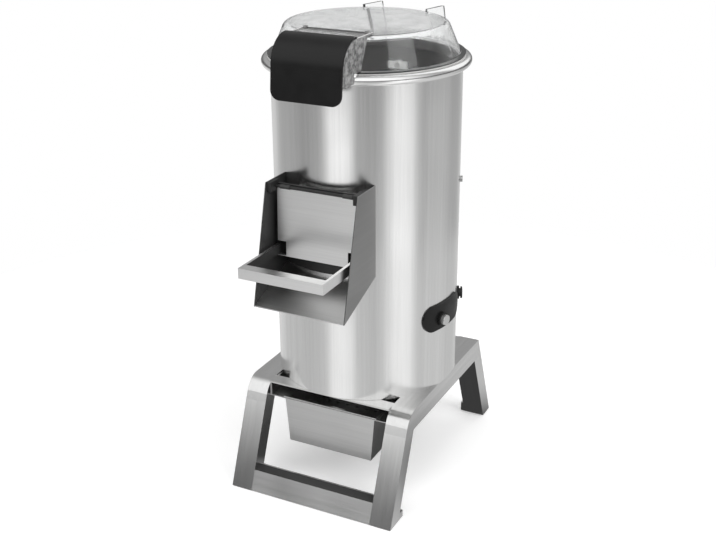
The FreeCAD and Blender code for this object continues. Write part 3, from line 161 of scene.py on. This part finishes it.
class Tree:
    """A node tree with short calls for what the materials and the world need."""

    def __init__(self, tree):
        self.nodes = tree.nodes
        self.links = tree.links

    def node(self, kind, **settings):
        made = self.nodes.new(kind)
        for key, value in settings.items():
            setattr(made, key, value)
        return made

    def link(self, source, node, socket):
        self.links.new(source, node.inputs[socket])

    def math(self, operation, a, b=0.0, c=0.0):
        made = self.node("ShaderNodeMath", operation=operation)
        for place, value in enumerate((a, b, c)):
            if isinstance(value, (int, float)):
                made.inputs[place].default_value = value
            else:
                self.link(value, made, place)
        return made.outputs[0]

    def place(self):
        return self.node("ShaderNodeTexCoord").outputs["Object"]

    def normal(self):
        return self.node("ShaderNodeNewGeometry").outputs["Normal"]

    def split(self, vector):
        made = self.node("ShaderNodeSeparateXYZ")
        self.link(vector, made, 0)
        return made.outputs[0], made.outputs[1], made.outputs[2]

    def join(self, x, y, z):
        made = self.node("ShaderNodeCombineXYZ")
        for place, value in enumerate((x, y, z)):
            self.link(value, made, place)
        return made.outputs[0]

    def polar(self, x, y):
        # azimuth in radians from -Y towards +X, and the distance from the vertical axis
        azimuth = self.math("ARCTAN2", x, self.math("MULTIPLY", y, -1.0))
        squares = self.math("ADD", self.math("MULTIPLY", x, x), self.math("MULTIPLY", y, y))
        return azimuth, self.math("SQRT", squares)

    def around_drum(self):
        # a place on the drum as arc length round its axis, distance from it, and height
        x, y, z = self.split(self.place())
        azimuth, radius = self.polar(x, self.math("SUBTRACT", y, AXIS_Y))
        return self.join(self.math("MULTIPLY", azimuth, DRUM_R), radius, z)

    def under(self, value, limit):
        return self.math("LESS_THAN", value, limit)

    def over(self, value, limit):
        return self.math("GREATER_THAN", value, limit)

    def within(self, value, half):
        return self.under(self.math("ABSOLUTE", value), half)

    def beyond(self, value, half):
        return self.over(self.math("ABSOLUTE", value), half)

    def every(self, first, *others):
        # 1 where all the tests hold
        for other in others:
            first = self.math("MULTIPLY", first, other)
        return first

    def opposite(self, value):
        return self.math("SUBTRACT", 1.0, value)

    def weighed(self, first, first_share, second, second_share):
        return self.math("ADD", self.math("MULTIPLY", first, first_share),
                         self.math("MULTIPLY", second, second_share))

    def scaled(self, vector, scale):
        made = self.node("ShaderNodeMapping")
        made.inputs["Scale"].default_value = scale
        self.link(vector, made, "Vector")
        return made.outputs[0]

    def noise(self, vector, scale, detail, roughness=0.55):
        made = self.node("ShaderNodeTexNoise")
        made.inputs["Scale"].default_value = scale
        made.inputs["Detail"].default_value = detail
        made.inputs["Roughness"].default_value = roughness
        self.link(vector, made, "Vector")
        return made.outputs["Fac"]

    def streaks(self, vector, sizes, density=1.0):
        # noise whose spots have these sizes along x, y and z, and larger ones at a lower density
        return self.noise(self.scaled(vector, tuple(density / size for size in sizes)), scale=1.0, detail=2.0)

    def ramp(self, value, low, high, out_low, out_high):
        made = self.node("ShaderNodeMapRange")
        limits = {"From Min": low, "From Max": high, "To Min": out_low, "To Max": out_high}
        for socket, number in limits.items():
            made.inputs[socket].default_value = number
        self.link(value, made, "Value")
        return made.outputs["Result"]

    def spread(self, noise, out_low, out_high):
        # most of a noise's values lie between NOISE_LOW and NOISE_HIGH
        return self.ramp(noise, NOISE_LOW, NOISE_HIGH, out_low, out_high)

    def tint(self, factor, dark, light):
        made = self.node("ShaderNodeMix", data_type="RGBA")
        made.inputs["A"].default_value = (*dark, 1.0)
        made.inputs["B"].default_value = (*light, 1.0)
        self.link(factor, made, "Factor")
        return made.outputs["Result"]

    def painted_over(self, factor, under_coat, paint):
        made = self.node("ShaderNodeMix", data_type="RGBA")
        self.link(under_coat, made, "A")
        made.inputs["B"].default_value = (*paint, 1.0)
        self.link(factor, made, "Factor")
        return made.outputs["Result"]

    def blended(self, factor, first, second):
        made = self.node("ShaderNodeMixShader")
        for place, source in enumerate((factor, first, second)):
            self.link(source, made, place)
        return made.outputs[0]


class Shader(Tree):
    """A material made of one Principled shader."""

    def __init__(self, name, colour, **sockets):
        self.material = bpy.data.materials.new(name)
        self.material.use_nodes = True
        super().__init__(self.material.node_tree)
        self.bsdf = self.nodes["Principled BSDF"]
        self.bsdf.inputs["Base Color"].default_value = (*colour, 1.0)
        for socket, value in sockets.items():
            self.bsdf.inputs[socket.replace("_", " ")].default_value = value

    def colour(self, source):
        self.link(source, self.bsdf, "Base Color")

    def roughness(self, source):
        self.link(source, self.bsdf, "Roughness")

    def bump(self, height, strength, distance):
        made = self.node("ShaderNodeBump")
        made.inputs["Strength"].default_value = strength
        made.inputs["Distance"].default_value = distance
        self.link(height, made, "Height")
        self.link(made.outputs["Normal"], self.bsdf, "Normal")


def grey(level):
    return (level, level, level * BLUE_SHARE)


def shade(colour, factor):
    return tuple(min(channel * factor, 1.0) for channel in colour)


# Metals

def brushed_steel(name, level, roughness, grain, black=None, place=Tree.place):
    """Stainless sheet whose fine grain runs along one axis: grain is the size of a streak along x, y and z.
    Where black is given, it says which places get painted shade: black, matt and not metal."""
    shader = Shader(name, grey(level), Metallic=1.0, Roughness=roughness)
    at = place(shader)
    fine = shader.streaks(at, grain)
    broad = shader.streaks(at, grain, BROAD_STREAKS)
    cloud = shader.noise(at, CLOUD_SCALE, detail=1.0)
    streaks = shader.spread(shader.weighed(fine, 0.5, broad, 0.5), 0.0, 1.0)
    colour = shader.tint(streaks, grey(level * STREAK_DARK), grey(min(level * STREAK_LIGHT, 1.0)))
    smudge = shader.weighed(broad, 0.2, cloud, 0.8)
    shine = shader.spread(smudge, roughness * 0.88, roughness * 1.15)
    if black:
        # painted shade: these places are painted black to stand for shade
        painted = black(shader)
        colour = shader.painted_over(painted, colour, grey(PAINTED_SHADE_LEVEL))
        shine = shader.math("MAXIMUM", shine, shader.math("MULTIPLY", painted, PAINTED_SHADE_ROUGHNESS))
        shader.link(shader.opposite(painted), shader.bsdf, "Metallic")
    shader.colour(colour)
    shader.roughness(shine)
    shader.bump(fine, strength=0.04, distance=0.00001)
    return shader.material


def chute_inside_painted_shade(shader):
    # the inner faces of the chute's walls, painted black as painted shade
    x = shader.split(shader.place())[0]
    return shader.within(x, CHUTE_IN + PAINTED_SHADE_REACH)


def drum_behind_door_painted_shade(shader):
    # the drum's wall inside the chute, under the door, painted black as painted shade
    x, y, z = shader.split(shader.place())
    return shader.every(shader.within(x, CHUTE_IN),
                        shader.under(y, AXIS_Y),
                        shader.over(z, CHUTE_BACK_Z - PAINTED_SHADE_BELOW_FLOOR),
                        shader.under(z, DOOR_SEAL_TOP - PAINTED_SHADE_BELOW_SEAL))


def door_knuckles_painted_shade(shader):
    # above the door's top edge, where the hinge knuckles are painted black as painted shade
    z = shader.split(shader.place())[2]
    return shader.over(z, DOOR_SEAL_TOP + KNUCKLE_RISE)


def handle_inside_painted_shade(shader):
    # the upright faces of the handle that look at the door or at each other, painted black as painted shade
    x, y = shader.split(shader.place())[:2]
    nz = shader.split(shader.normal())[2]
    return shader.every(shader.within(x, HANDLE_HALF - HANDLE_EDGE),
                        shader.within(nz, UPRIGHT),
                        shader.over(y, HANDLE_Y + HANDLE_LIP))


def crossbar_top_painted_shade(shader):
    # the top face of the front crossbar, between its bright edges, painted black as a painted reflection of
    # the dark underside above it
    y = shader.split(shader.place())[1]
    nz = shader.split(shader.normal())[2]
    return shader.every(shader.over(nz, FACES_THAT_WAY),
                        shader.over(y, CROSSBAR_FRONT + CROSSBAR_FRONT_EDGE),
                        shader.under(y, CROSSBAR_BACK - CROSSBAR_BACK_EDGE))


def polished_steel(name, level, roughness):
    shader = Shader(name, grey(level), Metallic=1.0, Roughness=roughness)
    fine = shader.noise(shader.place(), scale=900.0, detail=2.0)
    cloud = shader.noise(shader.place(), scale=14.0, detail=3.0)
    shader.colour(shader.tint(shader.spread(cloud, 0.0, 1.0), grey(level * 0.95), grey(level)))
    shader.roughness(shader.spread(cloud, roughness * 0.8, roughness * 1.25))
    shader.bump(fine, strength=0.1, distance=0.00002)
    return shader.material


def turned_metal(name, level, roughness):
    # a machined face, with the marks left by the tool
    shader = Shader(name, grey(level), Metallic=1.0, Roughness=roughness)
    x, y, z = shader.split(shader.place())
    at = shader.join(x, y, shader.math("MULTIPLY", z, TOOL_MARK_FINER))
    marks = shader.noise(at, scale=1.0 / TOOL_MARK, detail=2.0)
    shader.colour(shader.tint(marks, grey(level * 0.9), grey(level)))
    shader.roughness(shader.spread(marks, roughness * 0.8, roughness * 1.3))
    shader.bump(marks, strength=0.2, distance=0.00003)
    return shader.material


def painted_casting(name, colour):
    shader = Shader(name, colour, Roughness=0.45)
    grain = shader.noise(shader.place(), scale=600.0, detail=3.0)
    cloud = shader.noise(shader.place(), scale=20.0, detail=4.0)
    shader.colour(shader.tint(cloud, shade(colour, MOTTLE_DARK), shade(colour, MOTTLE_LIGHT)))
    shader.roughness(shader.spread(cloud, 0.38, 0.55))
    shader.bump(grain, strength=0.3, distance=0.0002)
    return shader.material


# Plastics, rubber and grit

def moulded_plastic(name, colour, roughness, grain=0.0001, gloss=0.5):
    # grain is the depth of the mould's fine texture
    shader = Shader(name, colour, Roughness=roughness, Specular_IOR_Level=gloss)
    fine = shader.noise(shader.place(), scale=1500.0, detail=2.0)
    cloud = shader.noise(shader.place(), scale=25.0, detail=3.0)
    shader.colour(shader.tint(cloud, shade(colour, MOTTLE_DARK), shade(colour, MOTTLE_LIGHT)))
    shader.roughness(shader.spread(cloud, roughness * 0.85, roughness * 1.2))
    shader.bump(fine, strength=0.1, distance=grain)
    return shader.material


def rubber(name):
    return moulded_plastic(name, (0.025, 0.025, 0.025), roughness=0.7, grain=0.0002)


def grit(name, colour, size=0.0016):
    # abrasive grains bonded to a plate
    shader = Shader(name, colour, Roughness=0.85)
    cells = shader.node("ShaderNodeTexVoronoi")
    cells.inputs["Scale"].default_value = 1.0 / size
    shader.link(shader.place(), cells, "Vector")
    grains = cells.outputs["Distance"]
    cloud = shader.noise(shader.place(), scale=30.0, detail=4.0)
    worn = shader.weighed(grains, 0.6, cloud, 0.5)
    shader.colour(shader.tint(worn, shade(colour, 0.55), shade(colour, 1.5)))
    shader.bump(grains, strength=0.7, distance=0.0006)
    return shader.material


def clear_sheet(name):
    return Shader(name, CLEAR_COLOUR, Roughness=CLEAR_ROUGHNESS, IOR=CLEAR_IOR, Transmission_Weight=1.0)


def clear_plastic(name):
    shader = clear_sheet(name)
    cloud = shader.noise(shader.place(), scale=35.0, detail=3.0)
    scuff = shader.noise(shader.scaled(shader.place(), (300.0, 300.0, 40.0)), scale=1.0, detail=3.0)
    shader.roughness(shader.ramp(shader.math("MULTIPLY", cloud, scuff), 0.1, 0.4, 0.03, 0.12))
    shader.bump(cloud, strength=0.05, distance=0.0004)
    return shader.material


def hood_plastic(name):
    """Clear sheet whose upright cheeks are scuffed grey and whose sawn edges are pale."""
    shader = clear_sheet(name)
    x = shader.split(shader.place())[0]
    nx = shader.split(shader.normal())[0]
    at_side = shader.beyond(x, HOOD_HALF - HOOD_CHEEK)
    faces_side = shader.beyond(nx, FACES_THAT_WAY)
    scuff = shader.noise(shader.place(), scale=90.0, detail=4.0, roughness=0.7)
    worn = shader.ramp(scuff, 0.38, 0.62, 0.0, 1.0)
    scuffed = shader.tint(worn, grey(HOOD_SCUFF_DARK), grey(HOOD_SCUFF_LIGHT))
    cheek = shader.painted_over(shader.opposite(faces_side), scuffed, grey(HOOD_SAWN_EDGE))
    shader.colour(shader.painted_over(shader.opposite(at_side), cheek, grey(HOOD_TINT)))
    clearness = shader.ramp(at_side, 0.0, 1.0, 1.0, HOOD_CHEEK_CLEARNESS)
    shader.link(clearness, shader.bsdf, "Transmission Weight")
    shader.roughness(shader.spread(scuff, 0.05, 0.2))
    return shader.material


# A finish is its function and what that takes after the name. Metals take a grey level and the roughness,
# and brushed steel also the size of its streaks along x, y and z, or round the drum, outwards and up.
# Plastics take a colour, the roughness, the depth of their texture and their gloss. Grit takes a colour and
# the size of a grain.
# A brushed steel entry may end with a mask of places where shade is painted black.
FINISHES = {
    "frame_steel": (brushed_steel, 0.8, 0.15, (0.08, 0.0012, 0.0012)),
    "frame_steel_long": (brushed_steel, 0.8, 0.18, (0.0012, 0.08, 0.0012)),
    "frame_steel_upright": (brushed_steel, 0.84, 0.14, (0.0012, 0.03, 0.08)),
    "crossbar_steel": (brushed_steel, 0.86, 0.22, (0.08, 0.0012, 0.0012), crossbar_top_painted_shade),
    "pad_rubber": (rubber,),
    "fastener_steel": (turned_metal, 0.6, 0.35),
    "runner_steel": (brushed_steel, 0.6, 0.35, (0.002, 0.1, 0.002)),
    "drum_steel": (brushed_steel, 0.87, 0.235, (0.0012, 1.0, 0.16), drum_behind_door_painted_shade, Tree.around_drum),
    "rim_steel": (polished_steel, 1.0, 0.215),
    "liner_grit": (grit, (0.035, 0.034, 0.033)),
    "pan_steel": (brushed_steel, 0.62, 0.35, (0.1, 0.0015, 0.0015)),
    "drain_pipe": (brushed_steel, 0.6, 0.32, (0.002, 0.002, 0.1)),
    "housing_alloy": (turned_metal, 0.55, 0.4),
    "bearing_steel": (polished_steel, 0.7, 0.15),
    "seal_rubber": (rubber,),
    "inlet_plastic": (moulded_plastic, (0.82, 0.82, 0.81), 0.35),
    "gland_plastic": (moulded_plastic, (0.03, 0.03, 0.03), 0.5),
    "chute_steel": (brushed_steel, 0.66, 0.32, (0.1, 0.0012, 0.0012)),
    "chute_wall_steel": (brushed_steel, 0.37, 0.32, (0.0012, 0.1, 0.0012), chute_inside_painted_shade),
    # black, as painted shade in the gap above the door
    "hinge_bar_black": (moulded_plastic, (0.015, 0.015, 0.015), 0.5),
    "pin_steel": (polished_steel, 0.7, 0.2),
    "door_steel": (brushed_steel, 0.97, 0.33, (0.1, 0.0012, 0.0012), door_knuckles_painted_shade),
    "handle_steel": (brushed_steel, 1.0, 0.32, (0.1, 0.0012, 0.0012), handle_inside_painted_shade),
    "control_black": (moulded_plastic, (0.008, 0.008, 0.008), 0.4, 0.00001, 0.25),
    "start_metal": (turned_metal, 0.8, 0.35),
    "stop_black": (moulded_plastic, (0.015, 0.015, 0.015), 0.33),
    "box_plastic": (moulded_plastic, (0.2, 0.2, 0.21), 0.55),
    "shaft_steel": (turned_metal, 0.6, 0.35),
    "disc_grit": (grit, (0.13, 0.12, 0.11), 0.002),
    "pulley_alloy": (turned_metal, 0.6, 0.35),
    "belt_rubber": (rubber,),
    "motor_paint": (painted_casting, (0.06, 0.09, 0.13)),
    "lid_clear": (clear_plastic,),
    "hood_clear": (hood_plastic,),
    "gasket_clear": (moulded_plastic, (0.6, 0.6, 0.59), 0.5),
    "visor_black": (moulded_plastic, (0.009, 0.009, 0.009), 0.33, 0.00001, 0.25),
    "lug_steel": (brushed_steel, 0.65, 0.32, (0.002, 0.002, 0.1)),
    "drawer_steel": (brushed_steel, 0.66, 0.32, (0.1, 0.0015, 0.0015)),
}

# Nodes whose finish differs from their slot's by the way the grain runs, by painted shade or by wear
OWN_FINISH = {
    "rail_left": "frame_steel_long",
    "rail_right": "frame_steel_long",
    "front_leg_left": "frame_steel_upright",
    "front_leg_right": "frame_steel_upright",
    "rear_leg_left": "frame_steel_upright",
    "rear_leg_right": "frame_steel_upright",
    "front_crossbar": "crossbar_steel",
    "chute_wall_left": "chute_wall_steel",
    "chute_wall_right": "chute_wall_steel",
    "door_handle": "handle_steel",
    "lid_hood": "hood_clear",
}


def dress_nodes():
    made = {name: make(name, *values) for name, (make, *values) in FINISHES.items()}
    for part in frame["record"]["subparts"]:
        slots = NODES[part["node"]].data.materials
        slots.clear()
        slots.append(made[OWN_FINISH.get(part["node"], part["material_slot"])])


# Studio

def floor_disc():
    turns = [2 * math.pi * k / FLOOR_SIDES for k in range(FLOOR_SIDES)]
    ring = [(FLOOR_R * math.cos(turn), FLOOR_R * math.sin(turn), 0.0) for turn in turns]
    mesh = bpy.data.meshes.new("floor")
    mesh.from_pydata(ring, [], [list(range(FLOOR_SIDES))])
    return mesh


def seen_directly(tree, path):
    # 1 for what the camera sees, also through clear plastic
    return tree.math("MAXIMUM", path.outputs["Is Camera Ray"], path.outputs["Is Transmission Ray"])


def floor_material():
    """Pale and matt. In reflections it is a glow with a painted shadow, dark under the machine, and further
    out it lets the windows through."""
    shader = Shader("floor", FLOOR_COLOUR, Roughness=0.9)
    path = shader.node("ShaderNodeLightPath")
    glow = shader.math("MULTIPLY", seen_directly(shader, path), FLOOR_GLOW)
    shader.bsdf.inputs["Emission Color"].default_value = (1.0, 1.0, 1.0, 1.0)
    shader.link(glow, shader.bsdf, "Emission Strength")
    x, y = shader.split(shader.place())[:2]
    radius = shader.polar(x, shader.math("SUBTRACT", y, FLOOR_PAINTED_SHADOW_Y))[1]
    # the floor as metal sees it: a glow with a painted shadow under the machine
    image = shader.node("ShaderNodeEmission")
    level = shader.ramp(radius, FLOOR_NEAR, FLOOR_FAR, FLOOR_GLOSS_NEAR, FLOOR_GLOSS_FAR)
    shader.link(level, image, "Strength")
    clear = shader.node("ShaderNodeBsdfTransparent")
    clearness = shader.ramp(radius, FLOOR_NEAR, FLOOR_FAR, 0.0, FLOOR_CLEAR)
    glossy = shader.blended(clearness, image.outputs[0], clear.outputs[0])
    surface = shader.blended(path.outputs["Is Glossy Ray"], shader.bsdf.outputs[0], glossy)
    shader.link(surface, shader.nodes["Material Output"], "Surface")
    return shader.material


def studio_floor():
    floor = bpy.data.objects.new("floor", floor_disc())
    bpy.context.scene.collection.objects.link(floor)
    floor.data.materials.append(floor_material())


def sine(degrees):
    return math.sin(math.radians(degrees))


def between_elevations(tree, z, limits, out_low, out_high):
    low, high = limits
    return tree.ramp(z, sine(low), sine(high), out_low, out_high)


def window_light(tree, azimuth, window, ground):
    # how far the window stands out from the level round it
    middle, half, edge, level = window
    turn = tree.math("WRAP", tree.math("SUBTRACT", azimuth, middle), 180.0, -180.0)
    return tree.ramp(tree.math("ABSOLUTE", turn), half, half + edge, level - ground, 0.0)


def studio_level(tree):
    """What metal mirrors: tall windows below the horizon, a dark band along it, and the sky above."""
    x, y, z = tree.split(tree.node("ShaderNodeTexCoord").outputs["Generated"])
    azimuth = tree.math("DEGREES", tree.polar(x, y)[0])
    windows = STUDIO_GREY
    for window in STUDIO_WINDOWS:
        windows = tree.math("ADD", window_light(tree, azimuth, window, STUDIO_GREY), windows)
    below = between_elevations(tree, z, WINDOWS_END, 1.0, 0.0)
    sky = tree.ramp(tree.math("ABSOLUTE", azimuth), *SKY_TURN, SKY_FRONT, SKY_BACK)
    sky = tree.math("ADD", window_light(tree, azimuth, SKY_WINDOW, 0.0), sky)
    above = between_elevations(tree, z, SKY_START, 0.0, 1.0)
    top = between_elevations(tree, z, ZENITH, 1.0, ZENITH_LEVEL)
    level = tree.math("ADD", tree.every(below, windows), tree.every(above, top, sky))
    return tree.math("MAXIMUM", level, HORIZON_LEVEL)


def background(tree, level):
    made = tree.node("ShaderNodeBackground")
    made.inputs["Color"].default_value = (1.0, 1.0, 1.0, 1.0)
    if isinstance(level, (int, float)):
        made.inputs["Strength"].default_value = level
    else:
        tree.link(level, made, "Strength")
    return made.outputs[0]


def studio_world():
    """White where the camera looks, the studio in reflections, and an even level for the rest."""
    world = bpy.data.worlds.new("studio")
    bpy.context.scene.world = world
    world.use_nodes = True
    tree = Tree(world.node_tree)
    path = tree.node("ShaderNodeLightPath")
    even = background(tree, AMBIENT)
    studio = background(tree, studio_level(tree))
    light = tree.blended(path.outputs["Is Glossy Ray"], even, studio)
    surface = tree.blended(seen_directly(tree, path), light, background(tree, 1.0))
    tree.link(surface, tree.nodes["World Output"], "Surface")


def softbox(name, azimuth, elevation, distance, size, power):
    data = bpy.data.lights.new(name, "AREA")
    data.shape = "RECTANGLE"
    data.size, data.size_y = size
    data.energy = power
    lamp = bpy.data.objects.new(name, data)
    bpy.context.scene.collection.objects.link(lamp)
    level = math.cos(math.radians(elevation))
    out = Vector((sine(azimuth) * level, -math.cos(math.radians(azimuth)) * level, sine(elevation)))
    centre = Vector((0.0, AXIS_Y, (cad_low.z + cad_high.z) / 2))
    lamp.location = centre + out * distance
    lamp.visible_glossy = False
    lamp.rotation_mode = "QUATERNION"
    lamp.rotation_quaternion = out.to_track_quat("Z", "Y")


view_settings()
make_camera()
dress_nodes()
studio_floor()
studio_world()
for lamp in LAMPS:
    softbox(*lamp)
